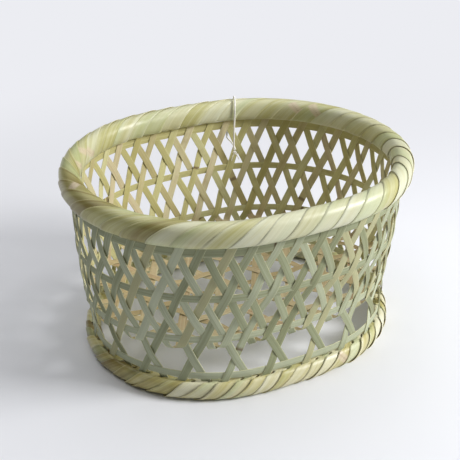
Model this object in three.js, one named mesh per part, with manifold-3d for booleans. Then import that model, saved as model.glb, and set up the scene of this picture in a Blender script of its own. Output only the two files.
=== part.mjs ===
// Oval draining basket of split bamboo: an open weave of leaning strips held by four hoops, a hexagonal
// woven base raised on a wound foot ring, a thick wound rim and a white string hitched round the rim.
import * as THREE from 'three';
import Module from 'manifold-3d';
import { mergeVertices } from 'three/addons/utils/BufferGeometryUtils.js';

const wasm = await Module();
wasm.setup();

// Driving dimensions in millimetres. The floor is z = 0 and the long axis is x.
const HALF_LENGTH = 179; // middle line of the rim along x
const HALF_WIDTH = 150; // middle line of the rim along y
const SIDE_RADIUS = 430; // radius of the two long sides of the oval
const HEIGHT = 209; // floor to the top of the rim
const RIM_WIDTH = 22;
const RIM_DEPTH = 26;
const FOOT_WIDTH = 17;
const FOOT_DEPTH = 21;
const FOOT_GAP = 2.5; // from the foot up to the foot hoop
const MIDDLE_HOOP_Z = 123.5;
const BASE_HOOP_Z = 70;
const FOOT_CROSSING_Z = 47; // height where the strips that reach the foot cross
const BASE_DROP = 14; // woven base below the middle of the base hoop
const BASE_BEND = 4; // size of the bend where a wall strip turns into the base
const BASE_BOW = 3; // sideways bow of the two outermost strips along the base
const STRIP_WIDTH = 7.5;
const STRIP_THICKNESS = 0.8;
const HOOP_WIDTH = 8;
const TOP_HOOP_WIDTH = 10;
const HOOP_THICKNESS = 0.8;
const STRIP_IN_RIM = 15; // length of strip clamped between the rim's hoops
const STRIP_IN_FOOT = 17; // length of strip clamped between the foot's hoops
const WINDING_THICKNESS = 0.9;
const WINDING_GAP = 6; // bare stretch between neighbouring turns of a winding
const THREAD_WIDTH = 7; // width of a winding where it threads through the weave
const STRING_DIAMETER = 2.2;
const KNOT_DIAMETER = 6;
const CLEARANCE = 0.4; // left between pieces that lie on each other

// How far the wall stands inside the rim's middle line, at the two ends and half way along the long sides.
const ON_RIM = { ends: 0, sides: 0 };
const MIDDLE_INSET = { ends: 1, sides: 7 };
const BASE_INSET = { ends: 5, sides: 20 };
const FOOT_INSET = { ends: 11, sides: 14.5 };

// Counts. Strip ends turning into the base: on each long side, and on each of the four end sectors.
const SIDE_ENDS = 5;
const SECTOR_ENDS = 3;
const STRIPS_EACH_WAY = 2 * (2 * SIDE_ENDS + 4 * SECTOR_ENDS);
const WINDING_STRIPS = 2; // strips that wind side by side
const WINDING_TURNS = STRIPS_EACH_WAY / (2 * WINDING_STRIPS); // turns of each strip
const WINDING_STEPS = 8; // flat faces to a turn
const FIRST_GAP = 0.5; // station of the first gap in the weave, between two strips

const SLASH = 1; // a strip that leans to the right going up, seen from outside
const BACKSLASH = -1;

// The oval: two end arcs joined to two long side arcs.
const sideDrop = SIDE_RADIUS - HALF_WIDTH;
const endRadius = (SIDE_RADIUS ** 2 - sideDrop ** 2 - HALF_LENGTH ** 2) / (2 * (SIDE_RADIUS - HALF_LENGTH));
const endCentre = HALF_LENGTH - endRadius;
const endAngle = Math.atan2(sideDrop, endCentre);
const endArc = endRadius * endAngle;
const quarter = endArc + SIDE_RADIUS * (Math.PI / 2 - endAngle);
const pitch = (4 * quarter) / STRIPS_EACH_WAY;

// Turn of the outward normal from +x or -x, a distance along one quarter from its end arc.
function quarterTurn(distance) {
  if (distance < endArc) return distance / endRadius;
  return endAngle + (distance - endArc) / SIDE_RADIUS;
}

// Point and outward normal at a station counted in strips, a distance outward of a line inside the rim's.
function ovalPoint(station, outward, z, inset) {
  const quarters = ((station + 0.5) * pitch) / quarter;
  const whole = Math.floor(quarters);
  const rest = (quarters - whole) * quarter;
  const odd = Math.abs(whole % 2) === 1;
  const turn = odd ? Math.PI / 2 - quarterTurn(quarter - rest) : quarterTurn(rest);
  const angle = (whole * Math.PI) / 2 + turn;
  const normal = new THREE.Vector3(Math.cos(angle), Math.sin(angle), 0);
  const onEnd = Math.abs(normal.x) > Math.cos(endAngle);
  const centre = onEnd
    ? new THREE.Vector3(Math.sign(normal.x) * endCentre, 0, z)
    : new THREE.Vector3(0, -Math.sign(normal.y) * sideDrop, z);
  const inside = inset.ends * normal.x ** 2 + inset.sides * normal.y ** 2;
  const radius = (onEnd ? endRadius : SIDE_RADIUS) + outward - inside;
  return { point: centre.addScaledVector(normal, radius), normal };
}

// How far a straight chord between neighbouring stations falls inside the end arcs.
const chordSag = (stations) => (stations * pitch) ** 2 / (8 * endRadius);

// Heights of the weave's rows, where strips cross; the even rows 0, 2 and 4 carry hoops.
const rimLow = HEIGHT - RIM_DEPTH;
const topHoopZ = rimLow - CLEARANCE - TOP_HOOP_WIDTH / 2;
const footHoopZ = FOOT_DEPTH + FOOT_GAP + HOOP_WIDTH / 2;
const baseZ = BASE_HOOP_Z - BASE_DROP;
const ROWS = [
  topHoopZ,
  (topHoopZ + MIDDLE_HOOP_Z) / 2,
  MIDDLE_HOOP_Z,
  (MIDDLE_HOOP_Z + BASE_HOOP_Z) / 2,
  BASE_HOOP_Z,
  FOOT_CROSSING_Z,
];
const LAST_WALL_ROW = 4;
const FOOT_ROW = 5;
const JOIN_ROW = 3; // row where the two strips of a foot pair are pressed together
const joinDepth = STRIP_THICKNESS / 3; // how far each of them stays from the middle of the weave there
const topRise = ROWS[0] - ROWS[1];
const lowRise = BASE_HOOP_Z - FOOT_CROSSING_Z;
const shortestRise = Math.min(topRise, ROWS[2] - ROWS[3], lowRise);

// Wall from the rim down: straight between these heights.
const footTop = footHoopZ + HOOP_WIDTH / 2;
const PROFILE = [
  { z: HEIGHT, inset: ON_RIM },
  { z: topHoopZ, inset: ON_RIM },
  { z: MIDDLE_HOOP_Z, inset: MIDDLE_INSET },
  { z: BASE_HOOP_Z, inset: BASE_INSET },
  { z: footTop, inset: FOOT_INSET },
  { z: 0, inset: FOOT_INSET },
];

function wallInset(z) {
  const below = PROFILE.findIndex((level, k) => k > 0 && z >= level.z);
  const [upper, lower] = [PROFILE[below - 1], PROFILE[below]];
  const share = (upper.z - z) / (upper.z - lower.z);
  const at = (place) => upper.inset[place] * (1 - share) + lower.inset[place] * share;
  return { ends: at('ends'), sides: at('sides') };
}

// Depth of the weave: strips clear each other over the whole of a crossing, and clear a bent hoop.
const lean = Math.atan2(pitch / 2, shortestRise);
const crossingHalf = STRIP_WIDTH / 2 / Math.sin(lean);
const layer = STRIP_THICKNESS + CLEARANCE;
const hoopSag = chordSag(0.5) + chordSag(STRIP_WIDTH / pitch);
const hoopLayer = (STRIP_THICKNESS + HOOP_THICKNESS) / 2 + CLEARANCE + hoopSag;
const slopeAbove = (BASE_INSET.sides - MIDDLE_INSET.sides) / (MIDDLE_HOOP_Z - BASE_HOOP_Z);
const slopeBelow = (BASE_INSET.sides - FOOT_INSET.sides) / (BASE_HOOP_Z - footTop);
const wallBend = ((slopeAbove + slopeBelow) / 2) * (HOOP_WIDTH / 2);
const besideHoop = (width, rise) => (hoopLayer + CLEARANCE / 2) / (1 - (width + STRIP_THICKNESS) / rise);
const weaveDepth = Math.max(
  layer / 2 / (1 - (2 * crossingHalf) / shortestRise),
  besideHoop(HOOP_WIDTH, shortestRise),
  besideHoop(TOP_HOOP_WIDTH, topRise),
  hoopLayer + wallBend,
);

// Strips' ends are pressed closer together between the rim's hoops.
const stripTop = rimLow + STRIP_IN_RIM;
const endDepth = layer / 2 + CLEARANCE;
const enterShare = (rimLow - topHoopZ) / (stripTop - topHoopZ);
const enterDepth = weaveDepth + (endDepth - weaveDepth) * enterShare;

// Solid from a row of matching sections, closed on itself or capped at both ends.
function loft(sections, closed) {
  const sides = sections[0].length;
  const triangles = [];
  const steps = closed ? sections.length : sections.length - 1;
  for (let k = 0; k < steps; k += 1) {
    const here = k * sides;
    const next = ((k + 1) % sections.length) * sides;
    for (let i = 0; i < sides; i += 1) {
      const j = (i + 1) % sides;
      triangles.push(here + i, here + j, next + j, here + i, next + j, next + i);
    }
  }
  if (!closed) {
    const last = (sections.length - 1) * sides;
    for (let i = 1; i < sides - 1; i += 1) {
      triangles.push(0, i + 1, i, last, last + i, last + i + 1);
    }
  }
  const points = sections.flat();
  if (signedVolume(points, triangles) < 0) triangles.reverse();
  const geometry = new THREE.BufferGeometry().setFromPoints(points);
  geometry.setIndex(triangles);
  return geometry;
}

function signedVolume(points, triangles) {
  let sum = 0;
  for (let i = 0; i < triangles.length; i += 3) {
    const [a, b, c] = [points[triangles[i]], points[triangles[i + 1]], points[triangles[i + 2]]];
    sum += a.dot(new THREE.Vector3().crossVectors(b, c));
  }
  return sum / 6;
}

// Flat strip through stations that each have a point and the direction its skin faces.
function stripSolid(stations) {
  const sections = stations.map(({ point, normal }, k) => {
    const before = stations[Math.max(k - 1, 0)].point;
    const after = stations[Math.min(k + 1, stations.length - 1)].point;
    const along = new THREE.Vector3().subVectors(after, before);
    const across = new THREE.Vector3().crossVectors(along, normal).setLength(STRIP_WIDTH / 2);
    const out = new THREE.Vector3().crossVectors(across, along).setLength(STRIP_THICKNESS / 2);
    const corner = (a, b) => point.clone().addScaledVector(across, a).addScaledVector(out, b);
    return [corner(-1, -1), corner(1, -1), corner(1, 1), corner(-1, 1)];
  });
  return loft(sections, false);
}

// Ring whose section, a list of outward distances, heights and insets, is carried round the oval.
function ringSolid(section, stations) {
  const sections = Array.from({ length: stations }, (_, k) => {
    const station = (k * STRIPS_EACH_WAY) / stations;
    return section.map(({ outward, z, inset }) => ovalPoint(station, outward, z, inset).point);
  });
  return loft(sections, true);
}

// Wall strips: a strip's station at a row, a depth outside (+) or inside (-) the middle of the weave.
function wallStation(strip, row, z, depth, inset = wallInset(z)) {
  return ovalPoint(strip.index - (strip.lean * row) / 2, depth, z, inset);
}

// Stations of a wall strip from its end in the rim down to the base hoop.
function wallStations(strip) {
  const topRow = -(stripTop - ROWS[0]) / topRise;
  const stations = [wallStation(strip, topRow, stripTop, strip.lean * endDepth)];
  for (let row = 0; row <= LAST_WALL_ROW; row += 1) {
    const side = row % 2 === 0 ? strip.lean : -strip.lean;
    const depth = row === JOIN_ROW && strip.joined ? joinDepth : weaveDepth;
    stations.push(wallStation(strip, row, ROWS[row], side * depth));
  }
  return stations;
}

const lowRow = (z) => LAST_WALL_ROW + (BASE_HOOP_Z - z) / lowRise;

// Strips that run on past the base hoop, cross once more and end between the foot's hoops.
function footStations(strip) {
  const crossingEnd = FOOT_CROSSING_Z - crossingHalf;
  const hoopEdge = footTop + 2 * STRIP_THICKNESS;
  const stripEnd = FOOT_DEPTH - STRIP_IN_FOOT;
  return [
    ...wallStations(strip),
    wallStation(strip, FOOT_ROW, FOOT_CROSSING_Z, -strip.lean * weaveDepth),
    wallStation(strip, lowRow(crossingEnd), crossingEnd, (-strip.lean * layer) / 2),
    wallStation(strip, lowRow(hoopEdge), hoopEdge, strip.lean * hoopLayer),
    wallStation(strip, lowRow(stripEnd), stripEnd, strip.lean * hoopLayer),
  ];
}

function toSolid(geometry) {
  geometry.deleteAttribute('normal');
  geometry.deleteAttribute('uv');
  const merged = mergeVertices(geometry);
  return new wasm.Manifold(new wasm.Mesh({
    numProp: 3,
    vertProperties: new Float32Array(merged.attributes.position.array),
    triVerts: new Uint32Array(merged.index.array),
  }));
}

function toGeometry(solid) {
  const mesh = solid.getMesh();
  const geometry = new THREE.BufferGeometry();
  geometry.setAttribute('position', new THREE.Float32BufferAttribute(mesh.vertProperties, 3));
  geometry.setIndex(Array.from(mesh.triVerts));
  return geometry;
}

// Base strips.
// Ends of the strips that turn into the base, in order round the base hoop.
const SECTOR_SIZES = [SECTOR_ENDS, SIDE_ENDS, SECTOR_ENDS, SECTOR_ENDS, SIDE_ENDS, SECTOR_ENDS];
const FAMILY_STEP = Math.PI / 3; // the base's three families of strips lie 60 degrees apart
const sectorOf = SECTOR_SIZES.flatMap((ends, sector) => Array(2 * ends).fill(sector));

// Depth of the base weave: strips clear each other over the whole of the most slanting crossing.
const baseRadiusShare = (endRadius - BASE_INSET.ends) / endRadius;
const SLANTING_CROSSING = THREE.MathUtils.degToRad(56);
const baseCrossingHalf = STRIP_WIDTH / 2 / Math.tan(SLANTING_CROSSING / 2);
const baseDepth = layer / 2 / (1 - (2 * baseCrossingHalf) / (pitch * baseRadiusShare));

function baseEnd(position) {
  const leans = position % 2 === 0 ? BACKSLASH : SLASH;
  const strip = { lean: leans, index: position + (leans * LAST_WALL_ROW) / 2, joined: false };
  const family = (sectorOf[position] + (leans === SLASH ? 1 : 0)) % 3;
  const bendTop = baseZ + BASE_BEND;
  const bend = wallStation(strip, lowRow(bendTop), bendTop, leans * weaveDepth, BASE_INSET);
  const lip = wallStation(strip, lowRow(baseZ), baseZ + leans * baseDepth, -BASE_BEND, BASE_INSET);
  bend.normal = bend.normal.clone().setZ(-1).normalize();
  lip.normal = new THREE.Vector3(0, 0, -1);
  return { family, lip, stations: [...wallStations(strip), bend, lip] };
}

const ends = sectorOf.map((_, position) => baseEnd(position));

// Pairs the ends of one family across the base, in order of their distance to one side.
function familyStrips(family) {
  const angle = family * FAMILY_STEP;
  const along = ({ lip }) => lip.point.x * Math.cos(angle) + lip.point.y * Math.sin(angle);
  const aside = ({ lip }) => lip.point.y * Math.cos(angle) - lip.point.x * Math.sin(angle);
  const own = ends.filter((end) => end.family === family).sort((a, b) => aside(a) - aside(b));
  const far = own.filter((end) => along(end) > 0);
  const near = own.filter((end) => along(end) < 0);
  return far.map((end, k) => ({ family, from: end, to: near[k] }));
}

const baseStrips = [0, 1, 2].flatMap((family) => familyStrips(family));

// Line of a base strip in plan. The outermost strip on each long side bows outwards in its middle half, so
// that it passes between the crossings of the other two families.
const LINE_STEPS = 24;
function baseLine({ family, from, to }) {
  const outermost = family === 0 && Math.abs(from.lip.point.y) > HALF_WIDTH / 2;
  const bow = outermost ? Math.sign(from.lip.point.y) * BASE_BOW : 0;
  return Array.from({ length: LINE_STEPS + 1 }, (_, k) => {
    const share = k / LINE_STEPS;
    const point = new THREE.Vector3().lerpVectors(from.lip.point, to.lip.point, share);
    point.y += bow * (4 * share * (1 - share)) ** 3;
    return point;
  });
}

baseStrips.forEach((strip) => {
  strip.line = baseLine(strip);
});

// Point where two straight stretches a-b and c-d cross in plan, with its share of a-b, or null.
function stretchCrossing(a, b, c, d) {
  const [ux, uy, vx, vy] = [b.x - a.x, b.y - a.y, d.x - c.x, d.y - c.y];
  const cross = ux * vy - uy * vx;
  const share = ((c.x - a.x) * vy - (c.y - a.y) * vx) / cross;
  const other = ((c.x - a.x) * uy - (c.y - a.y) * ux) / cross;
  const meets = share >= 0 && share < 1 && other >= 0 && other < 1;
  return meets ? { share, point: new THREE.Vector3().lerpVectors(a, b, share) } : null;
}

// Stations of a strip at its crossings on the base. Each family lies over the one before it and under the
// one after it, round the cycle of three.
function baseCrossings(strip) {
  const stations = [];
  for (let i = 0; i < LINE_STEPS; i += 1) {
    const found = [];
    for (const other of baseStrips) {
      if (other.family === strip.family) continue;
      const level = baseZ + ((strip.family + 2) % 3 === other.family ? baseDepth : -baseDepth);
      for (let j = 0; j < LINE_STEPS; j += 1) {
        const hit = stretchCrossing(strip.line[i], strip.line[i + 1], other.line[j], other.line[j + 1]);
        if (!hit) continue;
        hit.point.setZ(level);
        found.push({ ...hit, normal: new THREE.Vector3(0, 0, -1) });
      }
    }
    stations.push(...found.sort((p, q) => p.share - q.share));
  }
  return stations;
}

function baseStripSolid(strip) {
  const up = strip.to.stations.slice().reverse();
  return stripSolid([...strip.from.stations, ...baseCrossings(strip), ...up]);
}

// Hoops, rim and foot.
// Thin hoop inside the weave, tipped to follow the wall above and below it.
function weaveHoop(z, width) {
  const section = [[-1, -1], [1, -1], [1, 1], [-1, 1]].map(([side, end]) => {
    const edge = z + (end * width) / 2;
    return { outward: (side * HOOP_THICKNESS) / 2, z: edge, inset: wallInset(edge) };
  });
  return ringSolid(section, 2 * STRIPS_EACH_WAY);
}

const facetReach = 1 / Math.cos(Math.PI / WINDING_STEPS);

// Bundle of two hoops that clamp the strips, and the winding round them; thread is -1 where the winding
// threads the weave below the bundle and +1 where it does so above it.
const slotRoom = STRIP_THICKNESS / 2 + CLEARANCE + chordSag(1);
const RIM = {
  inset: ON_RIM,
  z: HEIGHT - RIM_DEPTH / 2,
  halfWidth: RIM_WIDTH / 2,
  halfDepth: RIM_DEPTH / 2,
  slot: enterDepth + slotRoom,
  thread: -1,
};
const FOOT = {
  inset: FOOT_INSET,
  z: FOOT_DEPTH / 2,
  halfWidth: FOOT_WIDTH / 2,
  halfDepth: FOOT_DEPTH / 2,
  slot: hoopLayer + slotRoom,
  thread: 1,
};

// Half of a bundle: the outer hoop (side +1) or the inner one (side -1).
function bundleHoop(bundle, side) {
  const skin = WINDING_THICKNESS + CLEARANCE;
  const wide = bundle.halfWidth - skin - chordSag(1);
  const tall = bundle.halfDepth - skin;
  const shoulder = Math.tan(Math.PI / WINDING_STEPS);
  const outline = [
    [bundle.slot, -tall], [wide * shoulder, -tall], [wide, -tall * shoulder],
    [wide, tall * shoulder], [wide * shoulder, tall], [bundle.slot, tall],
  ];
  const section = outline.map(([x, z]) => ({ outward: side * x, z: bundle.z + z, inset: bundle.inset }));
  return ringSolid(section, STRIPS_EACH_WAY);
}

// Sections of one winding strip. It crosses the weave at a gap between strips, narrow and nearly square to
// the bundle, and spreads and slants over the rest of each turn, rising to the right on the outer face.
const windingAdvance = STRIPS_EACH_WAY / WINDING_TURNS; // stations to a turn
const windingStep = windingAdvance / WINDING_STRIPS; // stations from one strip to the next
function windingSections(bundle, first) {
  const spread = windingStep - WINDING_GAP / pitch;
  const count = WINDING_TURNS * WINDING_STEPS - 1;
  return Array.from({ length: count }, (_, k) => {
    const turn = ((k + 0.5) * 2 * Math.PI) / WINDING_STEPS;
    const threading = Math.cos(turn) > Math.cos((1.5 * Math.PI) / WINDING_STEPS);
    const half = (threading ? THREAD_WIDTH / pitch : spread) / 2;
    const station = first + (windingAdvance * (turn - Math.sin(turn))) / (2 * Math.PI);
    const at = (across, depth) => {
      const wide = (bundle.halfWidth - depth) * facetReach;
      const tall = (bundle.halfDepth - depth) * facetReach;
      const outward = -bundle.thread * wide * Math.sin(turn);
      const z = bundle.z + bundle.thread * tall * Math.cos(turn);
      return ovalPoint(station + across * half, outward, z, bundle.inset).point;
    };
    const skin = [-1, 0, 1].map((across) => at(across, 0));
    const back = [1, 0, -1].map((across) => at(across, WINDING_THICKNESS));
    return [...skin, ...back];
  });
}

// Least distance between points of one winding strip that lie most of a turn apart.
function leastSelfGap(sections) {
  let least = Infinity;
  for (let i = 0; i < sections.length; i += 1) {
    for (let j = i + WINDING_STEPS - 1; j < sections.length; j += 1) {
      for (const p of sections[i]) {
        for (const q of sections[j]) least = Math.min(least, p.distanceTo(q));
      }
    }
  }
  return least;
}

// String: a loop of thin cotton hung on the rim, with its two ends knotted together inside the basket.
const STRING_STATION = 7.7; // beside a crossing of the weave at the back of the basket
// Route from the knot up the inside, over the rim, down the outside and back in under the top hoop:
// outward of the rim's middle line, aside along the rim, and above the rim's middle.
const STRING_ROUTE = [
  [-12.8, 1.3, -48], [-12.7, 1.2, -36], [-12.6, 0.9, -22], [-12.6, 0.4, -7],
  [-12.7, 0, 5.4], [-9.8, -0.8, 10.9], [-5.3, -1.7, 14.7], [0, -2.5, 15], [5.3, -3.1, 14.7],
  [9.6, -3.5, 10.9], [12.6, -3.7, 5.4], [12.7, -3.3, -5.8], [10.2, -1.8, -12.5], [8, 0.6, -18.5],
  [6.4, 3.4, -25], [4.6, 5.7, -31], [0.4, 7, -35.2], [-4, 5.8, -37], [-8, 3.2, -39.5],
  [-10.8, 0.8, -43], [-12, -1.3, -48],
];
const STRING_STEPS = 48;
const STRING_SIDES = 8;
const KNOT_SIDES = 10;
const KNOT_RINGS = 8;

function stringSolid() {
  const curve = new THREE.CatmullRomCurve3(STRING_ROUTE.map(([outward, aside, rise]) =>
    ovalPoint(STRING_STATION + aside / pitch, outward, RIM.z + rise, ON_RIM).point));
  const section = new THREE.Shape(Array.from({ length: STRING_SIDES }, (_, k) => {
    const angle = (k * 2 * Math.PI) / STRING_SIDES;
    return new THREE.Vector2(Math.cos(angle), Math.sin(angle)).multiplyScalar(STRING_DIAMETER / 2);
  }));
  console.log(`string: ${curve.getLength().toFixed(1)} mm long`);
  const sweep = { steps: STRING_STEPS, extrudePath: curve, bevelEnabled: false };
  return new THREE.ExtrudeGeometry(section, sweep);
}

function knotSolid() {
  const [outward, , rise] = STRING_ROUTE[0];
  const drop = CLEARANCE + KNOT_DIAMETER / 2;
  const { point } = ovalPoint(STRING_STATION, outward + STRING_DIAMETER / 4, RIM.z + rise - drop, ON_RIM);
  return new THREE.SphereGeometry(KNOT_DIAMETER / 2, KNOT_SIDES, KNOT_RINGS).translate(...point.toArray());
}

// Materials.
const bamboo = (color, roughness) => new THREE.MeshStandardMaterial({ color, roughness, metalness: 0 });
const wallSkin = bamboo(0x97a27c, 0.6);
const baseSkin = bamboo(0xae9c68, 0.65);
const hoopSkin = bamboo(0x8f9a76, 0.6);
const splitCore = bamboo(0xbfae7c, 0.75);
const rimSkin = bamboo(0xc0c48c, 0.4);
const footSkin = bamboo(0xc8c58e, 0.45);
const cotton = new THREE.MeshStandardMaterial({ color: 0xf1efe8, roughness: 0.9, metalness: 0 });

const basket = new THREE.Group();

function addPiece(name, geometry, material) {
  const mesh = new THREE.Mesh(geometry, material);
  mesh.name = name;
  basket.add(mesh);
}

const number = (k) => String(k + 1).padStart(2, '0');

// Assembly.
baseStrips.forEach((strip, k) => addPiece(`base_strip_${number(k)}`, baseStripSolid(strip), baseSkin));

for (let k = 0; k < STRIPS_EACH_WAY / 2; k += 1) {
  const index = 2 * k + 1;
  const left = { lean: BACKSLASH, index, joined: true };
  const right = { lean: SLASH, index: index + JOIN_ROW, joined: true };
  const pair = [left, right].map((strip) => toSolid(stripSolid(footStations(strip))));
  addPiece(`foot_strip_pair_${number(k)}`, toGeometry(pair[0].add(pair[1])), wallSkin);
}

addPiece('top_hoop', weaveHoop(topHoopZ, TOP_HOOP_WIDTH), hoopSkin);
addPiece('middle_hoop', weaveHoop(MIDDLE_HOOP_Z, HOOP_WIDTH), hoopSkin);
addPiece('base_hoop', weaveHoop(BASE_HOOP_Z, HOOP_WIDTH), hoopSkin);
addPiece('foot_hoop', weaveHoop(footHoopZ, HOOP_WIDTH), hoopSkin);

for (const [name, bundle, skin] of [['rim', RIM, rimSkin], ['foot', FOOT, footSkin]]) {
  addPiece(`${name}_outer_hoop`, bundleHoop(bundle, 1), splitCore);
  addPiece(`${name}_inner_hoop`, bundleHoop(bundle, -1), splitCore);
  for (let k = 0; k < WINDING_STRIPS; k += 1) {
    const sections = windingSections(bundle, FIRST_GAP + k * windingStep);
    console.log(`${name}_winding_${k + 1}: least gap to itself ${leastSelfGap(sections).toFixed(2)} mm`);
    addPiece(`${name}_winding_${k + 1}`, loft(sections, false), skin);
  }
}

addPiece('string', stringSolid(), cotton);
addPiece('string_knot', knotSolid(), cotton);

export default basket;
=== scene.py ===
"""Oval draining basket of split bamboo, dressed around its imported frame.

Every strip, hoop and winding is a ribbon: a flat section carried along a path on the basket's oval.
Sizes are in millimetres and become metres when a mesh is made.
"""
import math

import bpy
import numpy as np
from mathutils import Matrix, Vector


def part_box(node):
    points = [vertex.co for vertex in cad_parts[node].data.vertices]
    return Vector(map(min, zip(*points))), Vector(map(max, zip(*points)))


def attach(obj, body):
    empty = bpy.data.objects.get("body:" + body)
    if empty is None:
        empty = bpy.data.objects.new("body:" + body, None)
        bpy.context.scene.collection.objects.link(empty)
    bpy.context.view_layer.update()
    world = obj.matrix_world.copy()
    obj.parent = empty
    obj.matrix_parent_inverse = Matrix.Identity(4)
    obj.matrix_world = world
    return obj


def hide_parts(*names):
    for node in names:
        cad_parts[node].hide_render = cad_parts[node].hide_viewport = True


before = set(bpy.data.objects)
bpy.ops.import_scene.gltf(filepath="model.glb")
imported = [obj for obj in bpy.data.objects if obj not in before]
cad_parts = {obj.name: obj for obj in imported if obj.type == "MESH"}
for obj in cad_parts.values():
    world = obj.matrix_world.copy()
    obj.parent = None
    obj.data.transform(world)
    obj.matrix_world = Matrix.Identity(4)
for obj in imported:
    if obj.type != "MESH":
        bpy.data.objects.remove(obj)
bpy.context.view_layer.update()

MM = 0.001
rng = np.random.default_rng(27)


def node_box(*names):
    """Lowest and highest corners of some nodes together, in millimetres."""
    corners = np.array([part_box(name) for name in names]) / MM
    return corners[:, 0].min(axis=0), corners[:, 1].max(axis=0)


# Sizes that the frame gives.
RIM_WIDTH = 22
FOOT_WIDTH = 17
RIM_LOW, RIM_HIGH = node_box("rim_winding_1", "rim_winding_2")
FOOT_LOW, FOOT_HIGH = node_box("foot_winding_1", "foot_winding_2")
HEIGHT = RIM_HIGH[2]
RIM_DEPTH = HEIGHT - RIM_LOW[2]
FOOT_DEPTH = FOOT_HIGH[2]
HALF_LENGTH = (RIM_HIGH[0] - RIM_LOW[0] - RIM_WIDTH) / 2
HALF_WIDTH = (RIM_HIGH[1] - RIM_LOW[1] - RIM_WIDTH) / 2
FOOT_INSET = (
    HALF_LENGTH - (FOOT_HIGH[0] - FOOT_LOW[0] - FOOT_WIDTH) / 2,
    HALF_WIDTH - (FOOT_HIGH[1] - FOOT_LOW[1] - FOOT_WIDTH) / 2,
)


def hoop_height(name):
    """Height of the middle of a hoop."""
    low, high = node_box(name)
    return (low[2] + high[2]) / 2


def hoop_width(name):
    """Width of a hoop, which stands on edge."""
    low, high = node_box(name)
    return high[2] - low[2]


TOP_HOOP_Z = hoop_height("top_hoop")
MIDDLE_HOOP_Z = hoop_height("middle_hoop")
BASE_HOOP_Z = hoop_height("base_hoop")
FOOT_HOOP_Z = hoop_height("foot_hoop")

# Sizes of the weave. An inset is how far the wall stands inside the rim's middle line, at the two ends of
# the basket and half way along its long sides.
SIDE_RADIUS = 430
FOOT_CROSSING_Z = 47
ON_RIM = (0, 0)
MIDDLE_INSET = (1, 7)
BASE_INSET = (5, 20)
BASE_DROP = 14
BASE_BEND = 4
BASE_BOW = 3
STRIP_WIDTH = 8.4
STRIP_THICKNESS = 0.8
HOOP_WIDTH = hoop_width("base_hoop")
HOOP_THICKNESS = 0.8
STRIP_IN_RIM = 15
STRIP_IN_FOOT = 17
WEAVE_DEPTH = 0.95
BASE_WEAVE_DEPTH = 1.0
STATION_STEP = 2.5

SIDE_ENDS = 5
SECTOR_ENDS = 3
STRIPS_EACH_WAY = 2 * (2 * SIDE_ENDS + 4 * SECTOR_ENDS)
SLASH = 1
BACKSLASH = -1

# The oval: two end arcs joined to two long side arcs.
SIDE_DROP = SIDE_RADIUS - HALF_WIDTH
END_RADIUS = (SIDE_RADIUS**2 - SIDE_DROP**2 - HALF_LENGTH**2) / (2 * (SIDE_RADIUS - HALF_LENGTH))
END_CENTRE = HALF_LENGTH - END_RADIUS
END_ANGLE = math.atan2(SIDE_DROP, END_CENTRE)
END_ARC = END_RADIUS * END_ANGLE
QUARTER = END_ARC + SIDE_RADIUS * (math.pi / 2 - END_ANGLE)
PITCH = 4 * QUARTER / STRIPS_EACH_WAY


def unit(vectors):
    """Vectors divided by their lengths."""
    return vectors / np.linalg.norm(vectors, axis=-1, keepdims=True)


def smoothstep(value):
    """3 s^2 - 2 s^3 of the value held between 0 and 1."""
    share = np.clip(value, 0, 1)
    return share * share * (3 - 2 * share)


def quarter_turn(distance):
    """Turn of the outward normal a distance along one quarter: distance / radius on its two arcs."""
    on_end = distance < END_ARC
    return np.where(on_end, distance / END_RADIUS, END_ANGLE + (distance - END_ARC) / SIDE_RADIUS)


def oval(station, outward, z, inset=ON_RIM):
    """Points and outward normals at stations counted in strips round the oval: centre + normal * radius,
    with the centre and radius of the end arc or the side arc that the normal belongs to. The inset goes
    from its value at the ends to its value at the sides as the normal's x^2 gives way to its y^2."""
    station, outward, z = np.broadcast_arrays(station, outward, z)
    quarters = (station + 0.5) * PITCH / QUARTER
    whole = np.floor(quarters)
    rest = (quarters - whole) * QUARTER
    turn = np.where(whole % 2 == 1, math.pi / 2 - quarter_turn(QUARTER - rest), quarter_turn(rest))
    angle = whole * math.pi / 2 + turn
    normal = np.stack([np.cos(angle), np.sin(angle), np.zeros_like(angle)], axis=-1)
    on_end = np.abs(normal[..., 0]) > math.cos(END_ANGLE)
    centre_x = np.where(on_end, np.sign(normal[..., 0]) * END_CENTRE, 0)
    centre_y = np.where(on_end, 0, -np.sign(normal[..., 1]) * SIDE_DROP)
    inside = inset[0] * normal[..., 0] ** 2 + inset[1] * normal[..., 1] ** 2
    radius = np.where(on_end, END_RADIUS, SIDE_RADIUS) + outward - inside
    centre = np.stack([centre_x, centre_y, z], axis=-1)
    return centre + normal * radius[..., None], normal


def wander(position, knots, swing):
    """Seeded smooth wandering: random heights at the positions 0 to knots, joined by half cosines."""
    heights = rng.uniform(-swing, swing, knots + 2)
    whole = np.clip(np.floor(position), 0, knots).astype(int)
    ease = (1 - np.cos(math.pi * (position - whole))) / 2
    return heights[whole] * (1 - ease) + heights[whole + 1] * ease


def bands(position, places, half_width):
    """Sum of bell curves exp(-(distance / half width)^2) round the places."""
    distance = (position[..., None] - np.asarray(places)) / half_width
    return np.exp(-(distance**2)).sum(axis=-1)


# Flat strip section: x across in half widths, y through in thicknesses, with a slightly crowned skin and
# narrow eased edges.
STRIP_SECTION = np.array([
    (-1, -0.2), (-0.96, -0.46), (-0.87, -0.5), (0.87, -0.5), (0.96, -0.46), (1, -0.2), (1, 0.2),
    (0.96, 0.45), (0.87, 0.52), (0.3, 0.58), (-0.3, 0.58), (-0.87, 0.52), (-0.96, 0.45), (-1, 0.2),
])


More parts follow.
